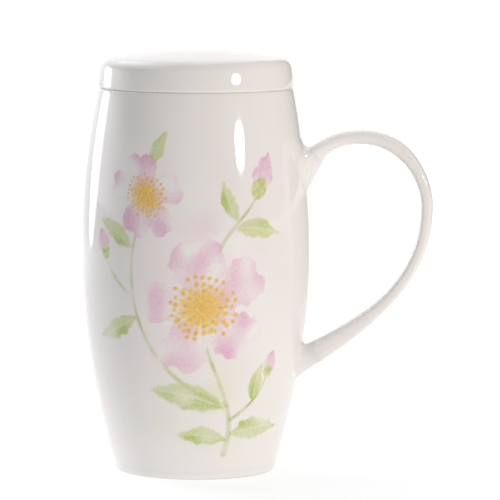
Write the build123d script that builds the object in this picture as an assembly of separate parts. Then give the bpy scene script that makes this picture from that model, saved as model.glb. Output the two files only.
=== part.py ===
"""A tall barrel-shaped china tea mug with a strap handle and a low domed lift-off lid.

The frame is in millimetres: the origin is the centre of the foot ring on the table,
+Z runs up the barrel's axis and +X points at the handle.
"""

from build123d import *
from math import cos, radians, sin, sqrt
import os

# Barrel: the outer side is two curves that meet upright at the belly.
# Each is drawn out to just inside the belly's radius, by its inset, at its pull from the foot or the mouth.
foot_radius = 27.2
belly_radius = 38.85
mouth_radius = 32.9
belly_height = 72.3
rim_height = 130.5
foot_inset = 0.9439
foot_pull = 38.1
belly_pull = 13.5
mouth_inset = 0.542
mouth_pull = 26.0
wall = 3.0
floor_thickness = 4.0
floor_round = 9.0
rim_round = 0.8

# Foot ring: flush with the barrel's side, open underneath
foot_height = 2.5
foot_width = 4.0
foot_outer_round = 1.2
foot_inner_round = 0.7

# Handle: its middle line leaves the wall upwards, passes a crest and its furthest reach, and sweeps back.
# The reaches are measured from the belly, the rise from the upper root and the drop from the crest.
upper_root_share = 0.528
upper_root_angle = 58.1
upper_root_pull = 9.1
crest_rise = 11.05
crest_reach = 17.75
crest_pull_in = 8.5
crest_pull_out = 14.9
reach_drop = 23.2
handle_reach = 39.85
reach_pull_up = 8.9
reach_pull_down = 26.4
lower_root_share = 0.523
lower_root_angle = 30.3
lower_root_pull = 27.5
root_depth = 4.0

# Strap: thickness in the handle's plane and width across it, at places along the middle line.
# The widest place is half-way through the thickness, but near the outer face where the upper root spreads.
strap_thickness = 3.8
strap_width = 9.4
station_shares = (
    0, 0.025, 0.05, 0.09, 0.135, 0.2, 0.27, 0.36, 0.45, 0.55, 0.65, 0.75, 0.85, 0.93, 0.965, 1,
)
thickness_shares = (
    3.05, 2.47, 1.75, 1.36, 1.24, 1.29, 1.32, 1.12, 1.06, 1.05, 1.06, 1.17, 1.57, 1.87, 2.05, 2.32,
)
width_shares = (
    2.36, 2.05, 1.74, 1.42, 1.22, 1.1, 1.06, 1.03, 1.01, 1, 0.99, 0.98, 0.97, 0.97, 0.98, 1,
)
outer_shares = (
    0.12, 0.16, 0.24, 0.38, 0.47, 0.5, 0.5, 0.5, 0.5, 0.5, 0.5, 0.5, 0.5, 0.5, 0.5, 0.5,
)
root_turn_share = 0.06

# Luting slip: a band round each root, thick against the barrel and thin at its outer end
slip_reach = 1.5
slip_edge = 0.25
slip_end_share = 0.05
slip_middle_share = 0.3

# Lid: a thick-edged cap whose flat underside lies on the rim, and a flange inside the mouth
lid_overhang = 0.25
lid_taper = 1.3
lid_bulge = 0.2
lid_side = 9.8
lid_dome_rise = 3.5
lid_crown = 3.0
lid_shoulder_round = 4.0
lid_edge_round = 0.8
lid_hollow_round = 3.0
flange_clearance = 0.7
flange_wall = 2.4
flange_depth = 8.0
flange_round = 0.9


def side_curves(inset):
    """The barrel's side, moved inwards by inset: the lower and the upper curve in the XZ plane.

    The upper curve's pull at the belly is set so that both bend alike where they meet.
    """
    upper_belly_pull = belly_pull * sqrt(mouth_inset / foot_inset)
    foot = foot_radius - inset
    belly = belly_radius - inset
    mouth = mouth_radius - inset
    low = Bezier(
        (foot, 0, 0),
        (belly - foot_inset, 0, foot_pull),
        (belly, 0, belly_height - belly_pull),
        (belly, 0, belly_height),
    )
    top = Bezier(
        (belly, 0, belly_height),
        (belly, 0, belly_height + upper_belly_pull),
        (belly - mouth_inset, 0, rim_height - mouth_pull),
        (mouth, 0, rim_height),
    )
    return low, top


def turned(edges):
    """The solid that a closed outline beside the Z axis sweeps in one full turn."""
    return revolve(make_face(edges), Axis.Z)


def circles(shape):
    """The full circles among a turned shape's edges, in groups from the lowest up."""
    return shape.edges().filter_by(lambda edge: edge.is_closed).group_by(Axis.Z)


def barrel_volume(inset):
    """The whole space inside the barrel's side, from the table to the rim."""
    low, top = side_curves(inset)
    base = Line((0, 0, 0), low @ 0)
    lid_plane = Line(top @ 1, (0, 0, rim_height))
    axis = Line((0, 0, rim_height), (0, 0, 0))
    return turned([base, low, top, lid_plane, axis])


def mug_body():
    """The barrel above its foot ring: a shell with a rounded floor and a flat, soft-edged rim."""
    floor_level = foot_height + floor_thickness
    cavity = split(barrel_volume(wall), Plane.XY.offset(floor_level), keep=Keep.TOP)
    cavity = fillet(circles(cavity)[0], floor_round)
    shell = split(barrel_volume(0), Plane.XY.offset(foot_height), keep=Keep.TOP) - cavity
    return fillet(circles(shell)[-1], rim_round)


def foot_ring():
    """The ring below the floor, turned flush with the barrel's side."""
    base = split(barrel_volume(0), Plane.XY.offset(foot_height), keep=Keep.BOTTOM)
    recess = Cylinder(foot_radius - foot_width, foot_height, align=(Align.CENTER, Align.CENTER, Align.MIN))
    ring = base - recess
    ring = fillet(circles(ring)[0].sort_by(SortBy.LENGTH)[-1], foot_outer_round)
    return fillet(circles(ring)[0].sort_by(SortBy.LENGTH)[0], foot_inner_round)


def out_of_wall(curve, share):
    """The direction that points squarely out of the barrel's side at a share of one of its curves."""
    along = curve % share
    return Vector(along.Z, 0, -along.X)


def handle_path():
    """The handle's middle line in the XZ plane, from the upper root on the wall to the lower one."""
    low, top = side_curves(0)
    upper_root = top @ upper_root_share
    lower_root = low @ lower_root_share
    crest = Vector(belly_radius + crest_reach, 0, upper_root.Z + crest_rise)
    reach = Vector(belly_radius + handle_reach, 0, crest.Z - reach_drop)
    upper_way = Vector(cos(radians(upper_root_angle)), 0, sin(radians(upper_root_angle)))
    lower_way = Vector(cos(radians(lower_root_angle)), 0, sin(radians(lower_root_angle)))
    rise = Bezier(
        upper_root,
        upper_root + upper_way * upper_root_pull,
        crest - Vector(crest_pull_in, 0, 0),
        crest,
    )
    fall = Bezier(
        crest,
        crest + Vector(crest_pull_out, 0, 0),
        reach + Vector(0, 0, reach_pull_up),
        reach,
    )
    sweep_back = Bezier(
        reach,
        reach - Vector(0, 0, reach_pull_down),
        lower_root + lower_way * lower_root_pull,
        lower_root,
    )
    return Wire([rise, fall, sweep_back])


def between(share, values):
    """The value at a share of the middle line, on straight lines between the stations."""
    for k in range(len(station_shares) - 1):
        first, second = station_shares[k], station_shares[k + 1]
        if share <= second:
            part = (share - first) / (second - first)
            return values[k] + part * (values[k + 1] - values[k])
    return values[-1]


def strap_section(path, share, swell, depth):
    """The strap's egg-shaped section at a share of the middle line, swollen and sunk into the wall.

    It is square to the middle line, and turns to lie flat on the wall near either root.
    """
    low, top = side_curves(0)
    upper_out = out_of_wall(top, upper_root_share)
    lower_out = out_of_wall(low, lower_root_share)
    upper_turn = max(0, 1 - share / root_turn_share)
    lower_turn = max(0, 1 - (1 - share) / root_turn_share)
    along = path % share
    facing = along * (1 - upper_turn - lower_turn) + upper_out * upper_turn - lower_out * lower_turn
    outwards = upper_out * upper_turn + lower_out * lower_turn
    plane = Plane(origin=path @ share - outwards * depth, x_dir=(0, 1, 0), z_dir=facing)
    half_width = strap_width * between(share, width_shares) / 2 + swell
    thickness = strap_thickness * between(share, thickness_shares)
    outer_depth = thickness * between(share, outer_shares)
    inner_depth = thickness - outer_depth
    widest = (0, thickness / 2 - outer_depth)
    outer = EllipticalCenterArc(widest, half_width, outer_depth + swell, 0, arc_size=180)
    inner = EllipticalCenterArc(widest, half_width, inner_depth + swell, 180, arc_size=180)
    return plane * make_face([outer, inner])


def strap(path):
    """The whole strap, with both its ends sunk into the barrel."""
    sections = [strap_section(path, share, 0, 0) for share in station_shares]
    first = strap_section(path, station_shares[0], 0, root_depth)
    last = strap_section(path, station_shares[-1], 0, root_depth)
    return loft([first, *sections, last])


def slip_band(path, root_share, end_share):
    """A band round one root: widest against the wall and inside it, thinning in a hollow curve."""
    middle_share = (root_share + end_share) / 2
    middle_swell = slip_edge + slip_middle_share * (slip_reach - slip_edge)
    return loft(
        [
            strap_section(path, root_share, slip_reach, root_depth),
            strap_section(path, root_share, slip_reach, 0),
            strap_section(path, middle_share, middle_swell, 0),
            strap_section(path, end_share, slip_edge, 0),
        ]
    )


def lid_cap():
    """The cap: slightly tapered side, rounded shoulder, shallow dome, hollow inside the flange's ring."""
    lid_radius = mouth_radius + lid_overhang
    shoulder_radius = lid_radius - lid_taper
    shoulder_height = rim_height + lid_side
    dome_radius = (shoulder_radius**2 + lid_dome_rise**2) / (2 * lid_dome_rise)
    dome_centre = shoulder_height + lid_dome_rise - dome_radius
    side = ThreePointArc(
        (lid_radius, 0, rim_height),
        (lid_radius - lid_taper / 2 + lid_bulge, 0, rim_height + lid_side / 2),
        (shoulder_radius, 0, shoulder_height),
    )
    cap = domed(side, dome_centre, dome_radius)
    cap = fillet(circles(cap)[0], lid_edge_round)
    cap = fillet(circles(cap)[-1], lid_shoulder_round)
    inner_radius = flange_inner_radius()
    ceiling_radius = dome_radius - lid_crown
    ceiling_edge = dome_centre + sqrt(ceiling_radius**2 - inner_radius**2)
    hollow_side = Line((inner_radius, 0, rim_height), (inner_radius, 0, ceiling_edge))
    hollow = domed(hollow_side, dome_centre, ceiling_radius)
    return cap - fillet(circles(hollow)[-1], lid_hollow_round)


def domed(side, dome_centre, dome_radius):
    """A round block on the rim's level: a side, and a top that is part of a ball."""
    middle = Vector(0, 0, rim_height)
    half_radius = (side @ 1).X / 2
    dome_middle = (half_radius, 0, dome_centre + sqrt(dome_radius**2 - half_radius**2))
    dome = ThreePointArc(side @ 1, dome_middle, (0, 0, dome_centre + dome_radius))
    return turned([Line(middle, side @ 0), side, dome, Line(dome @ 1, middle)])


def flange_inner_radius():
    """The flange stands off the mouth by its clearance, and its own wall is inside that."""
    return mouth_radius - wall - flange_clearance - flange_wall


def lid_flange():
    """The ring stuck under the cap, with a rounded lower edge."""
    inner_radius = flange_inner_radius()
    low = rim_height - flange_depth
    at_bottom = Plane.XY.offset(low)
    ring = extrude(at_bottom * (Circle(inner_radius + flange_wall) - Circle(inner_radius)), flange_depth)
    return fillet(circles(ring)[0], flange_round)


def main():
    path = handle_path()
    barrel = barrel_volume(0)
    whole_strap = strap(path)
    upper_band = slip_band(path, station_shares[0], slip_end_share)
    lower_band = slip_band(path, station_shares[-1], 1 - slip_end_share)
    nodes = {
        "mug_body": mug_body(),
        "foot_ring": foot_ring(),
        "handle": whole_strap - barrel,
        "upper_handle_joint": upper_band - whole_strap - barrel,
        "lower_handle_joint": lower_band - whole_strap - barrel,
        "lid_cap": lid_cap(),
        "lid_flange": lid_flange(),
    }
    os.makedirs("parts", exist_ok=True)
    for name, shape in nodes.items():
        export_step(shape, f"parts/{name}.step")


main()
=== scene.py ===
"""A tall lidded tea mug of bone china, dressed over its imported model. Lengths are in metres."""

import bpy
import numpy as np
from mathutils import Matrix, Vector


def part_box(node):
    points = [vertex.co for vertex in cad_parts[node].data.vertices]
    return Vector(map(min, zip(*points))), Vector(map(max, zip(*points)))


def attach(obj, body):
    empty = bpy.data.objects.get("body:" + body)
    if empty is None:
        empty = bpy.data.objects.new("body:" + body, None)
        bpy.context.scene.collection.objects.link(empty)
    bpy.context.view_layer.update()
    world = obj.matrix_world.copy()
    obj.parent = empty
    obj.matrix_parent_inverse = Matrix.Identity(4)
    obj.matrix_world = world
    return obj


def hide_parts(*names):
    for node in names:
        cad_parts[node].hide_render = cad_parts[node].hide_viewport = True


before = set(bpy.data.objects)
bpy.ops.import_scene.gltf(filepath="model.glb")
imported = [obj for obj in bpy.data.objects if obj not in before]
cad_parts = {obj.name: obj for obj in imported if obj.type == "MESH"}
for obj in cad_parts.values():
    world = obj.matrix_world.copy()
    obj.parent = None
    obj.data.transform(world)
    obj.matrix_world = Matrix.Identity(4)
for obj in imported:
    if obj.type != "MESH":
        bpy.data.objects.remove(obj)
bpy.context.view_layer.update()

# Mug body
# The barrel is slip-cast bone china of one even wall, with a round-cornered floor and a flat rim.
# It is glazed inside and out, and a soft print of blossoms is fired under the glaze of its front.
foot_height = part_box("mug_body")[0].z
rim_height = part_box("mug_body")[1].z
belly_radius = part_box("mug_body")[1].y
foot_radius = 0.0272
mouth_radius = 0.0329
belly_height = 0.0723
foot_inset = 0.0009439
foot_pull = 0.0381
belly_pull = 0.0135
mouth_inset = 0.000542
mouth_pull = 0.026
wall = 0.003
floor_thickness = 0.004
floor_level = foot_height + floor_thickness
floor_round = 0.009
rim_round = 0.0008
rim_straight = 0.002
floor_straight = 0.009
side_steps = 2000
row_step = 0.00045
coarse_step = 0.0011
print_low, print_high = 0.006, 0.121
print_half_turn = np.radians(72)
front_columns, back_columns = 222, 66
crease_angle = np.radians(50)


def bezier(controls, count):
    """A cubic curve: its four control points, weighted by the Bernstein terms of t from 0 to 1."""
    t = np.linspace(0, 1, count)[:, None]
    terms = np.hstack([(1 - t) ** 3, 3 * t * (1 - t) ** 2, 3 * t**2 * (1 - t), t**3])
    return terms @ np.array(controls, float)


# The side bends as much just above the belly as just below it
upper_belly_pull = belly_pull * np.sqrt(mouth_inset / foot_inset)
low_side = bezier([
    (foot_radius, 0),
    (belly_radius - foot_inset, foot_pull),
    (belly_radius, belly_height - belly_pull),
    (belly_radius, belly_height),
], side_steps)
top_side = bezier([
    (belly_radius, belly_height),
    (belly_radius, belly_height + upper_belly_pull),
    (belly_radius - mouth_inset, rim_height - mouth_pull),
    (mouth_radius, rim_height),
], side_steps)
side_line = np.vstack([low_side, top_side[1:]])


def side_radius(height):
    """The barrel's outer radius at a height, read off its side line."""
    return np.interp(height, side_line[:, 1], side_line[:, 0])


def unit(vector):
    """A vector's direction, of length 1."""
    return vector / np.linalg.norm(vector)


def rounded(corners, radii, steps=12):
    """An outline with arcs at its inner corners.

    Each arc lies on the circle of its corner's radius that touches both sides of the corner.
    """
    corners = np.array(corners, float)
    outline = [corners[:1]]
    for before, corner, after, radius in zip(corners, corners[1:], corners[2:], radii):
        if radius == 0:
            outline.append(corner[None])
            continue
        back, on = unit(before - corner), unit(after - corner)
        half = np.arccos(back @ on) / 2
        centre = corner + unit(back + on) * radius / np.sin(half)
        start, end = (corner + way * radius / np.tan(half) - centre for way in (back, on))
        first = np.arctan2(start[1], start[0])
        sweep = np.arctan2(start[0] * end[1] - start[1] * end[0], start @ end)
        angle = first + sweep * np.linspace(0, 1, steps)
        outline.append(centre + radius * np.stack([np.cos(angle), np.sin(angle)], -1))
    outline.append(corners[-1:])
    return np.vstack(outline)


def skin(name, points, poles):
    """A closed mesh over rows of points, each row a ring.

    With poles, the first and the last row are single points. Without, the last row joins the first.
    The map's u counts the columns and its v the rows.
    Faces are turned so that they enclose a positive volume.
    """
    rings = points[1:-1] if poles else points
    rows, columns = rings.shape[:2]
    index = np.arange(rows * columns).reshape(rows, columns)
    beside = np.roll(index, -1, axis=1)
    spans = rows - 1 if poles else rows
    above, above_beside = np.roll(index, -1, axis=0), np.roll(beside, -1, axis=0)
    quads = np.stack([index, beside, above_beside, above], -1)[:spans].reshape(-1, 4)
    grids = np.meshgrid(np.arange(rows), np.arange(columns), indexing="ij")
    row, column = (grid[:spans].ravel() for grid in grids)
    quad_u = np.stack([column, column + 1, column + 1, column], -1) / columns
    quad_v = np.stack([row, row, row + 1, row + 1], -1) + 1
    places = rings.reshape(-1, 3)
    faces = quads.tolist()
    maps = [np.stack([quad_u, quad_v / (rows + 1)], -1).reshape(-1, 2)]
    corners = [places[quads[:, [0, 1, 2]]], places[quads[:, [0, 2, 3]]]]
    if poles:
        count = rows * columns
        places = np.vstack([places, points[0, :1], points[-1, :1]])
        across = np.arange(columns)
        first = np.stack([np.full(columns, count), beside[0], index[0]], -1)
        last = np.stack([index[-1], beside[-1], np.full(columns, count + 1)], -1)
        faces += first.tolist() + last.tolist()
        first_u = np.stack([across + 0.5, across + 1, across], -1) / columns
        last_u = np.stack([across, across + 1, across + 0.5], -1) / columns
        first_v, last_v = np.array([0, 1, 1]), np.array([rows, rows, rows + 1])
        maps += [
            np.stack([u, np.broadcast_to(v / (rows + 1), u.shape)], -1).reshape(-1, 2)
            for u, v in ((first_u, first_v), (last_u, last_v))
        ]
        corners += [places[first], places[last]]
    triangles = np.vstack(corners)
    far_sides = np.cross(triangles[:, 1], triangles[:, 2])
    volume = np.einsum("ij,ij->", triangles[:, 0], far_sides) / 6
    mesh = bpy.data.meshes.new(name)
    mesh.from_pydata(places.tolist(), [], faces)
    layer = mesh.uv_layers.new(name="OFBake")
    layer.data.foreach_set("uv", np.vstack(maps).astype(np.float32).ravel())
    if volume < 0:
        mesh.flip_normals()
    mesh.shade_smooth()
    mesh.set_sharp_from_angle(angle=crease_angle)
    piece = bpy.data.objects.new(name, mesh)
    bpy.context.scene.collection.objects.link(piece)
    return piece


def turned(outline, angles):
    """A turned surface: each (radius, height) of an outline at each angle from the front, -Y."""
    radius, height = outline[:, :1], outline[:, 1:]
    level = height + 0 * angles
    return np.stack([radius * np.sin(angles), -radius * np.cos(angles), level], -1)


def stations(low, high, step):
    """Evenly spaced values from low to high, at most about a step apart."""
    return np.linspace(low, high, int(np.ceil((high - low) / step)) + 1)


outer_heights = np.concatenate([
    stations(foot_height, print_low, coarse_step)[:-1],
    stations(print_low, print_high, row_step),
    stations(print_high, rim_height - rim_straight, coarse_step)[1:],
])
inner_step = 3 * coarse_step
inner_heights = stations(floor_level + floor_straight, rim_height - rim_straight, inner_step)[::-1]
outer_side = np.stack([side_radius(outer_heights), outer_heights], -1)
inner_side = np.stack([side_radius(inner_heights) - wall, inner_heights], -1)
rim_corners = [(mouth_radius, rim_height), (mouth_radius - wall, rim_height)]
floor_corner = (side_radius(floor_level) - wall, floor_level)
body_corners = [(0, foot_height), *outer_side, *rim_corners]
body_corners += [*inner_side, floor_corner, (0, floor_level)]
body_radii = [0] * len(outer_side) + [rim_round] * 2 + [0] * len(inner_side) + [floor_round]
body_outline = rounded(body_corners, body_radii)
front_angles = np.linspace(-print_half_turn, print_half_turn, front_columns)
back_angles = np.linspace(print_half_turn, 2 * np.pi - print_half_turn, back_columns + 2)[1:-1]
body_angles = np.concatenate([front_angles, back_angles])
mug_body = skin("china_barrel", turned(body_outline, body_angles), poles=True)

# The barrel's print is made of transparent washes laid over one another.
# Each is a colour that lets part of the light through.
blush_wash = (0.985, 0.76, 0.885)
lilac_wash = (0.83, 0.56, 0.77)
lemon_wash = (1.0, 0.80, 0.16)
amber_wash = (0.94, 0.60, 0.10)
spring_wash = (0.84, 0.90, 0.50)
sage_wash = (0.60, 0.73, 0.36)
stem_wash = (0.66, 0.74, 0.40)
drift_waves = 12
brush_steps = 300


def ease(low, high, value):
    """0 below low and 1 above high, with the smooth cubic 3t^2 - 2t^3 between."""
    t = np.clip((value - low) / (high - low), 0, 1)
    return t * t * (3 - 2 * t)


def drift(across, up, size, seed):
    """Soft unevenness of about unit strength.

    It is the sum of waves of about one size, whose directions and phases are drawn from the seed.
    """
    draw = np.random.default_rng(seed)
    total = np.zeros(np.broadcast(across, up).shape)
    waves = draw.uniform((0, 0, 0.6), (2 * np.pi, 2 * np.pi, 1.5), (drift_waves, 3))
    for turn, phase, stretch in waves:
        way = across * np.cos(turn) + up * np.sin(turn)
        total += np.sin(way * stretch * 2 * np.pi / size + phase)
    return total / np.sqrt(drift_waves / 2)


def wash(ink, colour, amount):
    """The print with one more transparent colour on it, at full strength where amount is 1."""
    return ink * (1 - amount[..., None] * (1 - np.array(colour)))


def lift(ink, amount):
    """The print with its colour taken off again, all of it where amount is 1."""
    return ink + (1 - ink) * amount[..., None]


def stroke(ink, across, up, controls, width, colour, strength):
    """A brush line along a cubic curve, thinner towards its end.

    Its amount falls off with the distance from the curve, over about half the line's width.
    """
    line = bezier(controls, brush_steps)
    gap = np.full(across.shape, np.inf)
    part = np.zeros(across.shape)
    for t, (x, z) in zip(np.linspace(0, 1, len(line)), line):
        here = np.hypot(across - x, up - z)
        part = np.where(here < gap, t, part)
        gap = np.minimum(gap, here)
    half = width * (1 - 0.55 * part) / 2
    uneven = 0.75 + 0.25 * drift(across, up, 0.009, 11)
    return wash(ink, colour, strength * uneven * (1 - ease(0.55 * half, 1.5 * half, gap)))


def leaf(ink, across, up, base, length, turn, bend, width, seed):
    """A pointed leaf of two halves of unlike green, with a pale midrib and veins.

    Its half width goes with sin(pi a^0.8)^1.15 at the share a of its length.
    """
    dx, dz = across - base[0], up - base[1]
    a = (dx * np.cos(turn) + dz * np.sin(turn)) / length
    b = (dz * np.cos(turn) - dx * np.sin(turn)) / length - bend * a * (1 - a)
    inside = np.clip(a, 0, 1)
    half = width * np.sin(np.pi * inside**0.8) ** 1.15
    rough = drift(across, up, 0.004, seed)
    edge = half - np.abs(b) + 0.012 * rough * (half > 0)
    body = ease(0, 0.05, edge) * (a > 0) * (a < 1)
    rim = body * np.exp(-((edge / 0.035) ** 2))
    pool = 0.5 + 0.5 * drift(across, up, 0.012, seed + 1)
    side = ease(-0.01, 0.01, b)
    ink = lift(ink, 0.4 * body)
    ink = wash(ink, spring_wash, body * (0.55 + 0.35 * pool))
    ink = wash(ink, sage_wash, body * (0.18 + 0.4 * side * pool + 0.25 * (1 - inside)))
    ink = wash(ink, sage_wash, 0.25 * rim)
    rib = np.exp(-((b / 0.012) ** 2)) * body * ease(0.02, 0.2, a) * (1 - ease(0.7, 1, a))
    off_rib = np.abs(b)
    veins = np.abs(np.sin((inside * 9 - off_rib * 16) * np.pi)) ** 14
    veins = veins * body * ease(0.02, 0.06, off_rib)
    return lift(ink, 0.45 * rib + 0.14 * veins)


def blossom(ink, across, up, centre, radius, turn, squash, lean, deep, seed):
    """An open flower of five notched petals round a tuft of stamens.

    A petal's half width is breadth a^0.6 sqrt(1 - a^5) at the share a of its length. Its colour is
    palest in the middle, streaked from the base and pooled at the edge. The flower is foreshortened
    by squash across lean.
    """
    draw = np.random.default_rng(seed)
    dx, dz = across - centre[0], up - centre[1]
    p = dx * np.cos(lean) + dz * np.sin(lean)
    q = (dz * np.cos(lean) - dx * np.sin(lean)) / squash
    reach, around = np.hypot(p, q) / radius, np.arctan2(q, p)
    rough = drift(across, up, 0.0045, seed)
    cloud = drift(across, up, 0.013, seed + 1)
    for petal in draw.permutation(5):
        middle = turn + petal * 2 * np.pi / 5 + draw.normal(0, 0.09)
        length = draw.uniform(0.86, 1.06)
        breadth = draw.uniform(0.47, 0.56)
        strength = draw.uniform(0.75, 1.15)
        violet = np.clip(deep + draw.normal(0, 0.22), 0, 1)
        swing = (around - middle + np.pi) % (2 * np.pi) - np.pi
        a = reach * np.cos(swing) / length
        b = reach * np.sin(swing) / length
        a = a / (1 - 0.09 * np.exp(-((b / 0.10) ** 2))) + 0.012 * rough
        inside = np.clip(a, 0, 1)
        edge = breadth * inside**0.6 * np.sqrt(1 - inside**5) - np.abs(b) + 0.022 * rough
        body = ease(0, 0.045, edge) * (a > 0) * (a < 1)
        rim = body * np.exp(-((edge / 0.03) ** 2))
        fan = np.arctan2(b, np.maximum(a, 0.02))
        streak = 0.5 + 0.5 * np.sin(fan * 46 + 2.5 * rough + 9 * violet)
        fold = np.exp(-((b / 0.05) ** 2)) * (1 - ease(0.25, 0.9, inside))
        base = np.exp(-((inside / 0.34) ** 2))
        tip = ease(0.55, 1, inside) * (0.6 + 0.4 * cloud)
        blush = 0.42 + 0.28 * cloud + 0.3 * tip + 0.25 * base
        deepness = violet * (0.16 + 0.3 * base + 0.34 * tip + 0.16 * cloud) + 0.12 * fold
        streaks = 0.2 * streak**3 * ease(0.12, 0.3, inside) * (1 - ease(0.5, 0.92, inside))
        ink = lift(ink, 0.8 * body)
        ink = wash(ink, blush_wash, np.clip(strength * blush, 0, 1) * body)
        ink = wash(ink, lilac_wash, np.clip(strength * (deepness + streaks), 0, 1) * body)
        ink = wash(ink, lilac_wash, (0.16 + 0.3 * violet) * rim)
    return stamens(ink, across, up, reach, around, seed)


def stamens(ink, across, up, reach, around, seed):
    """A golden tuft: a soft heart, fine filaments, and three rings of dots at uneven distances."""
    rough = drift(across, up, 0.002, seed + 2)
    heart = 1 - ease(0.2, 0.38, reach + 0.03 * rough)
    ink = lift(ink, 0.75 * heart)
    ink = wash(ink, lemon_wash, 0.85 * heart)
    ink = wash(ink, amber_wash, 0.55 * (1 - ease(0.03, 0.17, reach + 0.03 * rough)))
    rings = ((13, 0.24, 0.036), (21, 0.34, 0.038), (28, 0.44, 0.034))
    for ring, (count, far, size) in enumerate(rings):
        cell = around * count / (2 * np.pi) + 0.37 * ring
        number = np.floor(cell)
        # A fixed chance from 0 to 1 for each dot: what is left after the point of a large sine
        chance = np.modf(np.abs(np.sin(number * 12.9898 + seed + ring) * 43758.5453))[0]
        swing = (cell - number - 0.5 + 0.3 * (chance - 0.5)) * 2 * np.pi / count
        far = far * (0.86 + 0.28 * chance)
        thread = np.exp(-((swing * reach / 0.012) ** 2)) * ease(0.08, 0.14, reach)
        thread = thread * (1 - ease(far - 0.02, far, reach))
        dot = 1 - ease(0.6 * size, 1.15 * size, np.hypot(swing * reach, reach - far))
        ink = wash(ink, amber_wash, 0.28 * thread)
        ink = lift(ink, 0.8 * dot)
        ink = wash(ink, lemon_wash, 0.95 * dot)
        ink = wash(ink, amber_wash, (0.15 + 0.55 * chance) * dot)
    return ink


def bud(ink, across, up, base, length, turn, seed):
    """A closed flower: a tear of two overlapping petals on a short green cup."""
    dx, dz = across - base[0], up - base[1]
    a = (dx * np.cos(turn) + dz * np.sin(turn)) / length
    b = (dz * np.cos(turn) - dx * np.sin(turn)) / length
    rough = drift(across, up, 0.003, seed)
    inside = np.clip(a, 0, 1)
    edge = 0.34 * np.sin(np.pi * inside**0.75) - np.abs(b) + 0.015 * rough
    body = ease(0, 0.07, edge) * (a > 0) * (a < 1)
    seam = np.exp(-(((b - 0.1 * np.sin(np.pi * inside)) / 0.03) ** 2)) * body
    ink = lift(ink, 0.8 * body)
    ink = wash(ink, blush_wash, body * (0.6 + 0.2 * rough))
    ink = wash(ink, lilac_wash, body * (0.2 + 0.5 * inside**2) + 0.3 * seam)
    cup_half = 0.25 * np.sqrt(np.clip(1 - ((a - 0.08) / 0.3) ** 2, 0, 1)) - np.abs(b)
    cup = ease(0, 0.06, cup_half) * (1 - ease(0.28, 0.42, a + 0.6 * np.abs(b)))
    ink = lift(ink, 0.6 * cup)
    return wash(wash(ink, spring_wash, 0.9 * cup), sage_wash, (0.35 + 0.2 * rough) * cup)


def spray(across, up):
    """The whole print: a rising stem with its twigs, leaves, buds and two open flowers.

    Across is the distance round the barrel from the front's middle line, and up the height.
    """
    ink = np.ones(across.shape + (3,))
    haze = np.exp(-(((across - 0.002) / 0.024) ** 2) - ((up - 0.07) / 0.03) ** 2)
    ink = wash(ink, blush_wash, np.clip(0.3 * haze * (0.8 + 0.5 * drift(across, up, 0.022, 3)), 0, 1))
    mist = np.exp(-(((across - 0.006) / 0.018) ** 2) - ((up - 0.027) / 0.015) ** 2)
    ink = wash(ink, spring_wash, np.clip(0.22 * mist * (0.8 + 0.5 * drift(across, up, 0.018, 5)), 0, 1))
    twigs = (
        ([(0.012, 0.009), (0.018, 0.023), (0.010, 0.034), (0.007, 0.046)], 0.0019),
        ([(0.0135, 0.026), (-0.010, 0.034), (-0.026, 0.058), (-0.0165, 0.088)], 0.0015),
        ([(0.011, 0.078), (0.015, 0.087), (0.022, 0.090), (0.0255, 0.0985)], 0.0014),
        ([(-0.0186, 0.0628), (-0.024, 0.066), (-0.029, 0.070), (-0.031, 0.077)], 0.0012),
        ([(0.0145, 0.021), (0.021, 0.025), (0.027, 0.029), (0.0295, 0.037)], 0.0012),
    )
    for controls, width in twigs:
        ink = stroke(ink, across, up, controls, width, stem_wash, 0.9)
    leaves = (
        ((0.0140, 0.0160), 0.022, 0.05, 0.24, 0.19, 21),
        ((0.0130, 0.0250), 0.029, 2.92, -0.25, 0.17, 22),
        ((0.0135, 0.0140), 0.019, 3.05, -0.20, 0.18, 23),
        ((0.0230, 0.0265), 0.015, 1.25, 0.20, 0.19, 24),
        ((-0.0172, 0.0562), 0.020, 3.55, 0.20, 0.18, 25),
        ((0.0165, 0.0860), 0.019, -0.15, 0.24, 0.19, 26),
        ((-0.0190, 0.0790), 0.019, 2.60, -0.18, 0.18, 27),
        ((0.0180, 0.0880), 0.016, 1.95, 0.22, 0.18, 28),
        ((-0.0120, 0.1060), 0.014, 1.15, 0.20, 0.19, 29),
    )
    for base, length, turn, bend, width, seed in leaves:
        ink = leaf(ink, across, up, base, length, turn, bend, width, seed)
    buds = (
        ((0.0253, 0.0980), 0.0135, 1.25, 41),
        ((-0.0309, 0.0765), 0.0095, 1.9, 42),
        ((0.0294, 0.0365), 0.0085, 1.2, 43),
    )
    for base, length, turn, seed in buds:
        ink = bud(ink, across, up, base, length, turn, seed)
    blossoms = (
        ((-0.0140, 0.0965), 0.0160, 0.6, 0.86, 2.3, 0.60, 63),
        ((0.0055, 0.0595), 0.0240, 0.2, 0.93, 0.3, 0.45, 64),
    )
    for centre, radius, turn, squash, lean, deep, seed in blossoms:
        ink = blossom(ink, across, up, centre, radius, turn, squash, lean, deep, seed)
    return np.clip(ink, 0, 1)


body_points = np.zeros(len(mug_body.data.vertices) * 3)
mug_body.data.vertices.foreach_get("co", body_points)
body_points = body_points.reshape(-1, 3)
from_front = np.arctan2(body_points[:, 0], -body_points[:, 1])
from_axis = np.hypot(body_points[:, 0], body_points[:, 1])
outside = from_axis > side_radius(body_points[:, 2]) - wall / 2
outside &= np.abs(from_front) <= print_half_turn
ink = np.ones((len(body_points), 4))
ink[outside, :3] = spray((from_front * from_axis)[outside], body_points[outside, 2])
ink_layer = mug_body.data.attributes.new("ink", "FLOAT_COLOR", "POINT")
ink_layer.data.foreach_set("color", ink.astype(np.float32).ravel())


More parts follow.
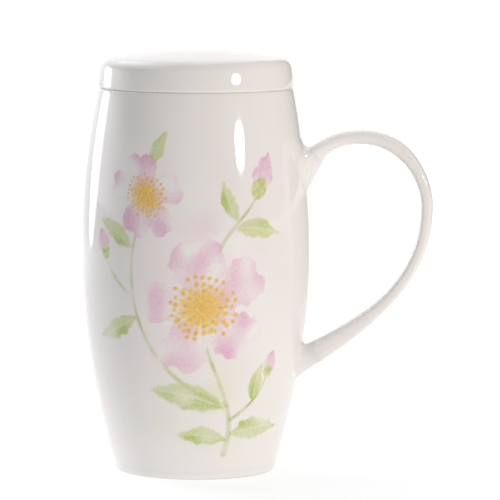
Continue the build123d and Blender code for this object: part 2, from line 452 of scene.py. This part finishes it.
def china(name, base_colour):
    """Bone china under clear gloss glaze: faint clouds in its colour and faint ripples in its glaze.

    Returns the material, its node tree, the shader and the socket that carries the china's own colour.
    """
    material = bpy.data.materials.new(name)
    material.use_nodes = True
    tree = material.node_tree
    shader = tree.nodes["Principled BSDF"]
    shader.inputs["IOR"].default_value = 1.5
    shader.inputs["Subsurface Weight"].default_value = 0.12
    shader.inputs["Subsurface Radius"].default_value = (1.0, 0.8, 0.6)
    shader.inputs["Subsurface Scale"].default_value = 0.003
    place = tree.nodes.new("ShaderNodeTexCoord")
    clouds = noise(tree, place, scale=38, detail=3)
    tone = tree.nodes.new("ShaderNodeMix")
    tone.data_type = "RGBA"
    tree.links.new(clouds, tone.inputs["Factor"])
    tone.inputs["A"].default_value = (*(0.975 * value for value in base_colour), 1)
    tone.inputs["B"].default_value = (*base_colour, 1)
    smear = noise(tree, place, scale=120, detail=2)
    gloss = tree.nodes.new("ShaderNodeMapRange")
    gloss.inputs["To Min"].default_value = 0.035
    gloss.inputs["To Max"].default_value = 0.075
    tree.links.new(smear, gloss.inputs["Value"])
    tree.links.new(gloss.outputs["Result"], shader.inputs["Roughness"])
    ripple = noise(tree, place, scale=85, detail=1)
    bump = tree.nodes.new("ShaderNodeBump")
    bump.inputs["Strength"].default_value = 0.10
    bump.inputs["Distance"].default_value = 0.0004
    tree.links.new(ripple, bump.inputs["Height"])
    tree.links.new(bump.outputs["Normal"], shader.inputs["Normal"])
    tree.links.new(tone.outputs["Result"], shader.inputs["Base Color"])
    return material, tree, shader, tone.outputs["Result"]


def noise(tree, place, scale, detail):
    """A cloudy value between 0 and 1 on the piece's own coordinates; scale is in clouds per metre."""
    node = tree.nodes.new("ShaderNodeTexNoise")
    node.inputs["Scale"].default_value = scale
    node.inputs["Detail"].default_value = detail
    tree.links.new(place.outputs["Object"], node.inputs["Vector"])
    return node.outputs["Fac"]


china_white = (0.87, 0.83, 0.805)
printed_china, tree, shader, white = china("printed_china", china_white)
pigment = tree.nodes.new("ShaderNodeAttribute")
pigment.attribute_name = "ink"
grain = tree.nodes.new("ShaderNodeTexNoise")
grain.inputs["Scale"].default_value = 1500
grain.inputs["Detail"].default_value = 3
tree.links.new(tree.nodes["Texture Coordinate"].outputs["Object"], grain.inputs["Vector"])
density = tree.nodes.new("ShaderNodeMapRange")
density.inputs["From Min"].default_value = 0.3
density.inputs["From Max"].default_value = 0.7
density.inputs["To Min"].default_value = 0.7
density.inputs["To Max"].default_value = 1.3
tree.links.new(grain.outputs["Fac"], density.inputs["Value"])
grained = tree.nodes.new("ShaderNodeGamma")
tree.links.new(pigment.outputs["Color"], grained.inputs["Color"])
tree.links.new(density.outputs["Result"], grained.inputs["Gamma"])
printed = tree.nodes.new("ShaderNodeMix")
printed.data_type = "RGBA"
printed.blend_type = "MULTIPLY"
printed.inputs["Factor"].default_value = 1
tree.links.new(white, printed.inputs["A"])
tree.links.new(grained.outputs["Color"], printed.inputs["B"])
tree.links.new(printed.outputs["Result"], shader.inputs["Base Color"])
mug_body.data.materials.append(printed_china)
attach(mug_body, "mug")
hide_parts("mug_body")

# Foot ring
# The ring that the mug stands on, cast with the barrel and flush with its side.
# Its resting face is wiped bare of glaze before firing and ground smooth.
foot_width = 0.004
foot_outer_round = 0.0012
foot_inner_round = 0.0007
foot_bare_low, foot_bare_high = 0.0004, 0.0009
ring_columns = 192
ring_angles = np.linspace(0, 2 * np.pi, ring_columns, endpoint=False)


def ring_outline(corners, radii):
    """A closed outline with its corners rounded, the last joined to the first."""
    corners = [tuple(corner) for corner in corners]
    return rounded([corners[-1], *corners, corners[0]], radii)[1:-1]


foot_side = stations(foot_outer_round, foot_height, foot_outer_round / 2)[2:]
foot_corners = [(foot_radius - foot_width, 0), (foot_radius, 0)]
foot_corners += [*np.stack([side_radius(foot_side), foot_side], -1)]
foot_corners += [(foot_radius - foot_width, foot_height)]
foot_radii = [foot_inner_round, foot_outer_round] + [0] * (len(foot_side) + 1)
foot_outline = ring_outline(foot_corners, foot_radii)
foot_ring = skin("foot_ring_bare", turned(foot_outline, ring_angles), poles=False)


def bare_below(name, base_colour, bare_colour, low, high):
    """China that is glazed above high, and bare, dull and a little sandy below low."""
    material, tree, shader, white = china(name, base_colour)
    place = tree.nodes["Texture Coordinate"]
    split = tree.nodes.new("ShaderNodeSeparateXYZ")
    tree.links.new(place.outputs["Object"], split.inputs["Vector"])
    ragged = noise(tree, place, scale=420, detail=3)
    sway = tree.nodes.new("ShaderNodeMath")
    sway.operation = "MULTIPLY_ADD"
    sway.inputs[1].default_value = (high - low) / 2
    tree.links.new(ragged, sway.inputs[0])
    tree.links.new(split.outputs["Z"], sway.inputs[2])
    glazed = tree.nodes.new("ShaderNodeMapRange")
    glazed.inputs["From Min"].default_value = low
    glazed.inputs["From Max"].default_value = high
    tree.links.new(sway.outputs["Value"], glazed.inputs["Value"])
    sand = noise(tree, place, scale=2600, detail=2)
    bare = tree.nodes.new("ShaderNodeMix")
    bare.data_type = "RGBA"
    bare.inputs["A"].default_value = (*(0.9 * value for value in bare_colour), 1)
    bare.inputs["B"].default_value = (*bare_colour, 1)
    tree.links.new(sand, bare.inputs["Factor"])
    colour = tree.nodes.new("ShaderNodeMix")
    colour.data_type = "RGBA"
    tree.links.new(glazed.outputs["Result"], colour.inputs["Factor"])
    tree.links.new(bare.outputs["Result"], colour.inputs["A"])
    tree.links.new(white, colour.inputs["B"])
    tree.links.new(colour.outputs["Result"], shader.inputs["Base Color"])
    dullness = tree.nodes.new("ShaderNodeMix")
    dullness.inputs["A"].default_value = 0.62
    tree.links.new(glazed.outputs["Result"], dullness.inputs["Factor"])
    tree.links.new(tree.nodes["Map Range"].outputs["Result"], dullness.inputs["B"])
    tree.links.new(dullness.outputs["Result"], shader.inputs["Roughness"])
    return material


bare_white = (0.80, 0.755, 0.69)
foot_ring.data.materials.append(
    bare_below("foot_bisque", china_white, bare_white, foot_bare_low, foot_bare_high)
)
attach(foot_ring, "mug")
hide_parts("foot_ring")

# Handle
# A strap of china, cast by itself, thin at its furthest reach and flared at both roots.
# The upper root spreads like a half egg. A thinner tenon at each end goes on through the slip.
upper_root_share = 0.528
upper_root_angle = np.radians(58.1)
upper_root_pull = 0.0091
crest_rise = 0.01105
crest_reach = 0.01775
crest_pull_in = 0.0085
crest_pull_out = 0.0149
reach_drop = 0.0232
handle_reach = 0.03985
reach_pull_up = 0.0089
reach_pull_down = 0.0264
lower_root_share = 0.523
lower_root_angle = np.radians(30.3)
lower_root_pull = 0.0275
strap_thickness = 0.0038
strap_width = 0.0094
station_shares = (
    0, 0.025, 0.05, 0.09, 0.135, 0.2, 0.27, 0.36, 0.45, 0.55, 0.65, 0.75, 0.85, 0.93, 0.965, 1
)
thickness_shares = (
    3.05, 2.47, 1.75, 1.36, 1.24, 1.29, 1.32, 1.12, 1.06, 1.05, 1.06, 1.17, 1.57, 1.87, 2.05, 2.32
)
width_shares = (
    1.95, 1.8, 1.62, 1.4, 1.22, 1.1, 1.06, 1.03, 1.01, 1, 0.99, 0.98, 0.97, 0.97, 0.98, 1
)
outer_shares = (0.12, 0.16, 0.24, 0.38, 0.47) + (0.5,) * 11
bluntness = (1.85, 2.0, 2.2, 2.7, 3.1) + (3.3,) * 7 + (3.2, 3.0, 2.8, 2.6)
root_turn_share = 0.06
slip_end_share = 0.05
tenon_share = 0.6
wall_overlap = 0.0003
strap_rows, strap_columns = 240, 96
middle_steps = 600


def at_share(line, share):
    """The points at shares of a line's length, each on the straight piece between its neighbours."""
    run = np.concatenate([[0], np.cumsum(np.linalg.norm(np.diff(line, axis=0), axis=1))])
    return np.stack([np.interp(share, run / run[-1], line[:, axis]) for axis in range(2)], -1)


def way_at(line, share, step=0.001):
    """A line's direction at shares of its length, from the points a step before and after."""
    share = np.atleast_1d(share)
    gap = at_share(line, np.minimum(share + step, 1)) - at_share(line, np.maximum(share - step, 0))
    return gap / np.linalg.norm(gap, axis=1, keepdims=True)


def slanted(angle):
    """A direction in the handle's plane at an angle above the horizontal."""
    return np.array([np.cos(angle), np.sin(angle)])


upper_root = at_share(top_side, upper_root_share)
lower_root = at_share(low_side, lower_root_share)
crest = np.array([belly_radius + crest_reach, upper_root[1] + crest_rise])
reach = np.array([belly_radius + handle_reach, crest[1] - reach_drop])
rise = [
    upper_root,
    upper_root + slanted(upper_root_angle) * upper_root_pull,
    crest - (crest_pull_in, 0),
    crest,
]
fall = [crest, crest + (crest_pull_out, 0), reach + (0, reach_pull_up), reach]
sweep_back = [
    reach,
    reach - (0, reach_pull_down),
    lower_root + slanted(lower_root_angle) * lower_root_pull,
    lower_root,
]
runs = [bezier(controls, middle_steps) for controls in (rise, fall, sweep_back)]
middle_line = np.vstack([runs[0], runs[1][1:], runs[2][1:]])
quarter_turn = np.array([[0, -1], [1, 0]])
upper_out = way_at(top_side, upper_root_share)[0] @ quarter_turn
lower_out = way_at(low_side, lower_root_share)[0] @ quarter_turn


def eased(share, values):
    """A smooth value at shares of the middle line: cubics through its values at the stations."""
    places, values = np.array(station_shares), np.array(values, float)
    slopes = np.gradient(values, places)
    k = np.clip(np.searchsorted(places, share, side="right") - 1, 0, len(places) - 2)
    span = places[k + 1] - places[k]
    t = (share - places[k]) / span
    start = (1 + 2 * t) * (1 - t) ** 2 * values[k] + t * (1 - t) ** 2 * span * slopes[k]
    return start + t**2 * (3 - 2 * t) * values[k + 1] - t**2 * (1 - t) * span * slopes[k + 1]


def strap_sections(share, swell=0):
    """The strap's egg-shaped sections at shares of the middle line, grown all round by swell.

    A section is two half superellipses that meet at its widest line: the cosine and the sine, each
    raised to 2 / bluntness. It is square to the middle line, and turns to lie flat on the wall near
    either root.
    """
    share = np.atleast_1d(share)
    upper_turn = np.maximum(0, 1 - share / root_turn_share)[:, None]
    lower_turn = np.maximum(0, 1 - (1 - share) / root_turn_share)[:, None]
    facing = way_at(middle_line, share) * (1 - upper_turn - lower_turn)
    facing = facing + upper_out * upper_turn - lower_out * lower_turn
    facing /= np.linalg.norm(facing, axis=1, keepdims=True)
    outwards = np.stack([-facing[:, 1], facing[:, 0]], -1)
    half_width = strap_width * eased(share, width_shares)[:, None] / 2 + swell
    thickness = strap_thickness * eased(share, thickness_shares)[:, None]
    outer_depth = thickness * eased(share, outer_shares)[:, None]
    angle = np.linspace(0, 2 * np.pi, strap_columns, endpoint=False)
    power = 2 / eased(share, bluntness)[:, None]
    across, out = (np.sign(wave) * np.abs(wave) ** power for wave in (np.cos(angle), np.sin(angle)))
    depth = np.where(out > 0, outer_depth, thickness - outer_depth) + swell
    up = thickness / 2 - outer_depth + depth * out
    plane = at_share(middle_line, share)[:, None] + up[..., None] * outwards[:, None]
    return np.stack([plane[..., 0], half_width * across, plane[..., 1]], -1)


def on_barrel(points, sunk):
    """Points moved along X on to the barrel's side, and below its skin by sunk."""
    across, height = points[..., 1], points[..., 2]
    return np.stack([np.sqrt((side_radius(height) - sunk) ** 2 - across**2), across, height], -1)


strap_ends = np.array([0, slip_end_share, 1 - slip_end_share, 1])
tenons = strap_sections(strap_ends)
tenon_middles = tenons.mean(axis=1, keepdims=True)
tenons = tenon_middles + tenon_share * (tenons - tenon_middles)
tenons[[0, -1]] = on_barrel(tenons[[0, -1]], wall_overlap)
strap_shares = 0.5 - (0.5 - slip_end_share) * np.cos(np.pi * np.linspace(0, 1, strap_rows))
strap = np.concatenate([tenons[:2], strap_sections(strap_shares), tenons[2:]])
ends = [np.broadcast_to(strap[end].mean(axis=0), strap[end].shape)[None] for end in (0, -1)]
handle = skin("strap_handle", np.concatenate([ends[0], strap, ends[1]]), poles=True)
plain_china = china("plain_china", china_white)[0]
handle.data.materials.append(plain_china)
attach(handle, "mug")
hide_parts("handle")

# Handle joints
# Each root is luted to the barrel with slip, wiped to a hollow fillet all round before glazing.
# The fillet starts just below the barrel's skin and runs into the end of the strap.
upper_slip_reaches = (0.0065, 0.0035, 0.0006)
lower_slip_reaches = (0.0004, 0.0015, 0.0035)
upper_chin, lower_chin = 0.0018, 0.0014
slip_inside = 0.0015
slip_sunk = 0.00006
barrel_pull, strap_pull = 0.65, 0.62
arrival_step = 0.1
slip_rows = 24
from_middle = np.sin(np.linspace(0, 2 * np.pi, strap_columns, endpoint=False))
outer_face, inner_face = np.maximum(0, from_middle), np.maximum(0, -from_middle)


def wall_normal(points, step=0.0005):
    """The way out of the barrel's side at points on it: outwards from the axis, less its slope."""
    across, height = points[:, :2], points[:, 2]
    slope = (side_radius(height + step) - side_radius(height - step)) / (2 * step)
    way = np.column_stack([across / np.linalg.norm(across, axis=1, keepdims=True), -slope])
    return way / np.linalg.norm(way, axis=1, keepdims=True)


def slip_fillet(name, root_share, end_share, reaches, chin):
    """A ring round one root, closed inside the wall.

    Its outer face is a cubic curve at each place round the section. The curve leaves along the wall,
    towards the corner where strap and barrel meet, and arrives along the strap. The corner stands off
    the section by chin. The reach on the barrel goes from the side's to the outer or the inner face's
    with the square of the sine round the section.
    """
    outer, side, inner = reaches
    reach = side + (outer - side) * outer_face**2 + (inner - side) * inner_face**2
    foot_line = on_barrel(strap_sections(root_share, chin + reach)[0], slip_sunk)
    corner = on_barrel(strap_sections(root_share, chin)[0], 0)
    nearer_share = (1 - arrival_step) * end_share + arrival_step * root_share
    on_strap, nearer = strap_sections(np.array([end_share, nearer_share]))
    along = (on_strap - nearer) / np.linalg.norm(on_strap - nearer, axis=1, keepdims=True)
    inwards = corner - foot_line
    wall_way = wall_normal(foot_line)
    inwards -= np.sum(inwards * wall_way, axis=1, keepdims=True) * wall_way
    leave = foot_line + barrel_pull * inwards
    arrive = on_strap - strap_pull * np.linalg.norm(on_strap - corner, axis=1, keepdims=True) * along
    t = np.linspace(0, 1, slip_rows)[:, None, None]
    face = (1 - t) ** 3 * foot_line + 3 * t * (1 - t) ** 2 * leave
    face = face + 3 * t**2 * (1 - t) * arrive + t**3 * on_strap
    inside = on_barrel(strap_sections(root_share, -slip_inside)[0], 2 * wall_overlap)
    return skin(name, np.concatenate([face, inside[None]]), poles=False)


upper_joint = slip_fillet(
    "upper_luting", 0, slip_end_share, upper_slip_reaches, upper_chin * inner_face
)
lower_joint = slip_fillet(
    "lower_luting", 1, 1 - slip_end_share, lower_slip_reaches, lower_chin * outer_face
)
for joint, node in ((upper_joint, "upper_handle_joint"), (lower_joint, "lower_handle_joint")):
    joint.data.materials.append(plain_china)
    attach(joint, "mug")
    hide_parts(node)

# Lid cap
# A low cap, slip-cast and turned: a swelling side, a rounded shoulder and a shallow dome.
# It is hollow underneath, and its flat lower edge lies loose on the mug's rim.
lid_overhang = 0.00025
lid_radius = mouth_radius + lid_overhang
lid_taper = 0.0013
lid_bulge = 0.0002
lid_side = 0.0098
lid_dome_rise = 0.0035
lid_crown = 0.003
lid_shoulder_round = 0.004
lid_edge_round = 0.0008
lid_hollow_round = 0.003
corner_straight = 0.003
flange_clearance = 0.0007
flange_wall = 0.0024
flange_outer = mouth_radius - wall - flange_clearance
flange_inner = flange_outer - flange_wall
shoulder_radius = lid_radius - lid_taper
shoulder_height = rim_height + lid_side
dome_radius = (shoulder_radius**2 + lid_dome_rise**2) / (2 * lid_dome_rise)
dome_centre = shoulder_height + lid_dome_rise - dome_radius


def dome(ball_radius, edge, count):
    """Points of a ball round the dome's centre, from the axis out to an edge radius."""
    radius = np.linspace(0, edge, count)
    return np.stack([radius, dome_centre + np.sqrt(ball_radius**2 - radius**2)], -1)


def lid_flank(height):
    """The side's radius: a straight taper with a parabola's bulge on it."""
    t = (height - rim_height) / lid_side
    return lid_radius - lid_taper * t + 4 * lid_bulge * t * (1 - t)


ceiling_radius = dome_radius - lid_crown
hollow_edge = dome(ceiling_radius, flange_inner, 2)[-1]
ceiling = dome(ceiling_radius, flange_inner - 2 * lid_hollow_round, 16)
flank_heights = np.linspace(rim_height + corner_straight, shoulder_height - corner_straight, 12)
flank = np.stack([lid_flank(flank_heights), flank_heights], -1)
crown = dome(dome_radius, shoulder_radius - corner_straight, 40)[::-1]
lid_corners = [
    *ceiling, hollow_edge, (flange_inner, rim_height), (lid_radius, rim_height), *flank,
    (shoulder_radius, shoulder_height), *crown,
]
lid_radii = [0] * (len(ceiling) - 1) + [lid_hollow_round, 0, lid_edge_round] + [0] * len(flank)
lid_radii += [lid_shoulder_round] + [0] * (len(crown) - 1)
lid_cap = skin("domed_lid", turned(rounded(lid_corners, lid_radii), ring_angles), poles=True)
lid_cap.data.materials.append(plain_china)
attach(lid_cap, "lid")
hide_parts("lid_cap")

# Lid flange
# The ring under the lid that drops into the mouth and keeps the lid from sliding off.
# The lid is fired standing on it, so that its lower edge is bare.
flange_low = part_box("lid_flange")[0].z
flange_round = 0.0009
flange_bare_low, flange_bare_high = flange_low + 0.0003, flange_low + 0.0008
flange_corners = [(flange_inner, flange_low), (flange_outer, flange_low)]
flange_corners += [(flange_outer, rim_height), (flange_inner, rim_height)]
flange_line = ring_outline(flange_corners, [flange_round, flange_round, 0, 0])
lid_flange = skin("locating_flange", turned(flange_line, ring_angles), poles=False)
lid_flange.data.materials.append(
    bare_below("flange_bisque", china_white, bare_white, flange_bare_low, flange_bare_high)
)
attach(lid_flange, "lid")
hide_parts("lid_flange")

# Floor and background
# A wide white sweep, nearly white to the camera, with the mug's own shadow on it.
# In the glaze its right side is dimmer, a painted dark reflection, so that the barrel's right edge
# shows.
# To every other ray the sweep is a painted glow that lights the mug from below.
floor_drop = 0.0002
floor_reach = 6.0
floor_sides = 96
floor_angles = np.linspace(0, 2 * np.pi, floor_sides, endpoint=False)
floor_mesh = bpy.data.meshes.new("floor")
floor_edge = np.stack([np.cos(floor_angles), np.sin(floor_angles)], -1) * floor_reach
floor_mesh.from_pydata([(x, y, -floor_drop) for x, y in floor_edge], [], [range(len(floor_edge))])
floor = bpy.data.objects.new("floor", floor_mesh)
bpy.context.scene.collection.objects.link(floor)


def seen(tree):
    """A socket that is 1 on rays that show a background: seen straight, mirrored or let through."""
    path = tree.nodes.new("ShaderNodeLightPath")
    mirrored = tree.nodes.new("ShaderNodeMath")
    mirrored.operation = "MAXIMUM"
    tree.links.new(path.outputs["Is Camera Ray"], mirrored.inputs[0])
    tree.links.new(path.outputs["Is Glossy Ray"], mirrored.inputs[1])
    through = tree.nodes.new("ShaderNodeMath")
    through.operation = "MAXIMUM"
    tree.links.new(mirrored.outputs["Value"], through.inputs[0])
    tree.links.new(path.outputs["Is Transmission Ray"], through.inputs[1])
    return through.outputs["Value"]


def smooth_range(tree, value, low, high, low_tone, high_tone):
    """A tone that goes smoothly from low_tone to high_tone as a value goes from low to high."""
    tone = tree.nodes.new("ShaderNodeMapRange")
    tone.interpolation_type = "SMOOTHSTEP"
    limits = (low, high, low_tone, high_tone)
    for socket, limit in zip(("From Min", "From Max", "To Min", "To Max"), limits):
        tone.inputs[socket].default_value = limit
    tree.links.new(value, tone.inputs["Value"])
    return tone.outputs["Result"]


sweep = bpy.data.materials.new("white_sweep")
sweep.use_nodes = True
tree = sweep.node_tree
tree.nodes.remove(tree.nodes["Principled BSDF"])
place = tree.nodes.new("ShaderNodeTexCoord")


def glow_from(centre, near, far, near_strength, far_strength):
    """A glow on the floor that goes smoothly from one strength to another away from a point."""
    distance = tree.nodes.new("ShaderNodeVectorMath")
    distance.operation = "DISTANCE"
    tree.links.new(place.outputs["Object"], distance.inputs[0])
    distance.inputs[1].default_value = centre
    gap = distance.outputs["Value"]
    strength = smooth_range(tree, gap, near, far, near_strength, far_strength)
    glow = tree.nodes.new("ShaderNodeEmission")
    tree.links.new(strength, glow.inputs["Strength"])
    return glow.outputs["Emission"]


shadowed = tree.nodes.new("ShaderNodeBsdfDiffuse")
shadowed.inputs["Color"].default_value = (0.3, 0.3, 0.3, 1)


def with_shadow(glow):
    """A glow with the floor's own light and shadow added."""
    added = tree.nodes.new("ShaderNodeAddShader")
    tree.links.new(shadowed.outputs["BSDF"], added.inputs[0])
    tree.links.new(glow, added.inputs[1])
    return added.outputs["Shader"]


white_glow = glow_from((0, 0, 0), near=0.05, far=0.45, near_strength=0.78, far_strength=1.0)
# Painted reflection: this dimmer floor on the right is seen only in the glaze.
painted_dim_reflection = glow_from((1.5, 0.6, 0), near=1.2, far=1.5, near_strength=0.3, far_strength=0.86)
# Painted light: the floor's glow as the mug's other rays meet it, a painted pool of light brighter near
# the mug's left front.
painted_light_pool = glow_from((-0.05, -0.03, 0), near=0.015, far=0.075, near_strength=1.2, far_strength=0.78)
path = tree.nodes.new("ShaderNodeLightPath")
white_or_dim = tree.nodes.new("ShaderNodeMixShader")
tree.links.new(path.outputs["Is Glossy Ray"], white_or_dim.inputs["Fac"])
tree.links.new(with_shadow(white_glow), white_or_dim.inputs[1])
tree.links.new(with_shadow(painted_dim_reflection), white_or_dim.inputs[2])
shown = tree.nodes.new("ShaderNodeMixShader")
tree.links.new(seen(tree), shown.inputs["Fac"])
tree.links.new(painted_light_pool, shown.inputs[1])
tree.links.new(white_or_dim.outputs["Shader"], shown.inputs[2])
tree.links.new(shown.outputs["Shader"], tree.nodes["Material Output"].inputs["Surface"])
floor.data.materials.append(sweep)

# The room is white to the camera.
# In the glaze it is light on the left, low down and overhead, and dark on the right.
room = bpy.data.worlds.new("white_room")
bpy.context.scene.world = room
room.use_nodes = True
tree = room.node_tree
ambient = tree.nodes["Background"]
ambient.inputs["Color"].default_value = (0.90, 0.96, 1, 1)
ambient.inputs["Strength"].default_value = 0.34
ray = tree.nodes.new("ShaderNodeTexCoord")
ray_parts = tree.nodes.new("ShaderNodeSeparateXYZ")
tree.links.new(ray.outputs["Generated"], ray_parts.inputs["Vector"])


def fade(axis, low, high, low_tone, high_tone):
    """A tone that goes smoothly from one value to another as a ray's direction along an axis grows."""
    return smooth_range(tree, ray_parts.outputs[axis], low, high, low_tone, high_tone)


def times(first, second):
    """The product of two tones."""
    product = tree.nodes.new("ShaderNodeMath")
    product.operation = "MULTIPLY"
    tree.links.new(first, product.inputs[0])
    tree.links.new(second, product.inputs[1])
    return product.outputs["Value"]


def only_left(share, tone):
    """A tone on the left of the room, where share is 1, that gives way to 1 where share is 0."""
    mixed = tree.nodes.new("ShaderNodeMix")
    mixed.inputs["A"].default_value = 1
    tree.links.new(share, mixed.inputs["Factor"])
    tree.links.new(tone, mixed.inputs["B"])
    return mixed.outputs["Result"]


far_left = fade("X", low=-0.85, high=-0.6, low_tone=1, high_tone=0)
low_light = fade("Z", low=0.11, high=0.2, low_tone=1.8, high_tone=0.7)
left_half = fade("X", low=-0.5, high=-0.25, low_tone=1, high_tone=0)
overhead_light = fade("Z", low=0.35, high=0.7, low_tone=1, high_tone=3.0)
front_to_back = fade("Y", low=-0.5, high=0.3, low_tone=0.4, high_tone=1.0)
left_to_right = fade("X", low=0.05, high=0.28, low_tone=1.4, high_tone=0.15)
left_wall = only_left(far_left, low_light)
left_ceiling = only_left(left_half, overhead_light)
room_tone = times(times(front_to_back, left_to_right), times(left_wall, left_ceiling))
path = tree.nodes.new("ShaderNodeLightPath")
shown_tone = tree.nodes.new("ShaderNodeMath")
shown_tone.operation = "MAXIMUM"
tree.links.new(room_tone, shown_tone.inputs[0])
tree.links.new(path.outputs["Is Camera Ray"], shown_tone.inputs[1])
backdrop = tree.nodes.new("ShaderNodeBackground")
tree.links.new(shown_tone.outputs["Value"], backdrop.inputs["Strength"])
either = tree.nodes.new("ShaderNodeMixShader")
tree.links.new(seen(tree), either.inputs["Fac"])
tree.links.new(ambient.outputs["Background"], either.inputs[1])
tree.links.new(backdrop.outputs["Background"], either.inputs[2])
tree.links.new(either.outputs["Shader"], tree.nodes["World Output"].inputs["Surface"])

# Lights
# A small oval lamp stands to the right of the camera, and an oval softbox low on the left, at the back.
# Two larger lamps, which the glaze doesn't mirror, fill in from above the softbox and from overhead.
mug_middle = Vector((0, 0, 0.075))
warm_light, cool_light, plain_light = (1, 0.93, 0.85), (0.93, 0.96, 1), (1, 1, 1)


def lamp(name, azimuth, elevation, distance, shape, width, height, power, colour):
    """An area lamp facing the mug's middle. Its azimuth, off the front, and elevation are in degrees."""
    around, above = np.radians(azimuth), np.radians(elevation)
    way = Vector((np.sin(around) * np.cos(above), -np.cos(around) * np.cos(above), np.sin(above)))
    data = bpy.data.lights.new(name, "AREA")
    data.shape = shape
    data.size, data.size_y = width, height
    data.energy = power
    data.color = colour
    light = bpy.data.objects.new(name, data)
    light.location = mug_middle + way * distance
    light.rotation_euler = way.to_track_quat("Z", "Y").to_euler()
    bpy.context.scene.collection.objects.link(light)
    return light


lamp(
    "key", azimuth=53, elevation=11.85, distance=1.2,
    shape="ELLIPSE", width=0.21, height=0.15, power=6.4, colour=warm_light,
)
lamp(
    "softbox", azimuth=-125, elevation=4.5, distance=0.9,
    shape="ELLIPSE", width=0.335, height=0.3, power=0.9, colour=cool_light,
)
left_fill = lamp(
    "left_fill", azimuth=-126, elevation=33, distance=0.9,
    shape="RECTANGLE", width=0.4, height=0.69, power=4.6, colour=cool_light,
)
top_light = lamp(
    "top_light", azimuth=180, elevation=65, distance=0.9,
    shape="SQUARE", width=0.7, height=0.7, power=3.4, colour=plain_light,
)
for fill in (left_fill, top_light):
    fill.visible_glossy = False

# Camera
# A long lens, a little above the mug and aimed at its middle.
# It stands slightly towards the handle's side of the front.
camera_azimuth = np.radians(5)
camera_distance = 1.25
camera_height = 0.206
camera_roll = np.radians(0.25)
focal_length = 265.2
film_width = 36
aim_right = 0.0185
aim_height = 0.075
to_right = Vector((np.cos(camera_azimuth), np.sin(camera_azimuth), 0))
to_front = Vector((np.sin(camera_azimuth), -np.cos(camera_azimuth), 0))
aim = to_right * aim_right + Vector((0, 0, aim_height))
lens = bpy.data.cameras.new("camera")
lens.sensor_width = film_width
lens.lens = focal_length
camera = bpy.data.objects.new("camera", lens)
camera.location = to_front * camera_distance + Vector((0, 0, camera_height))
look = (camera.location - aim).to_track_quat("Z", "Y").to_matrix()
camera.rotation_euler = (look @ Matrix.Rotation(camera_roll, 3, "Z")).to_euler()
bpy.context.scene.collection.objects.link(camera)
bpy.context.scene.camera = camera
bpy.context.scene.view_settings.view_transform = "Standard"
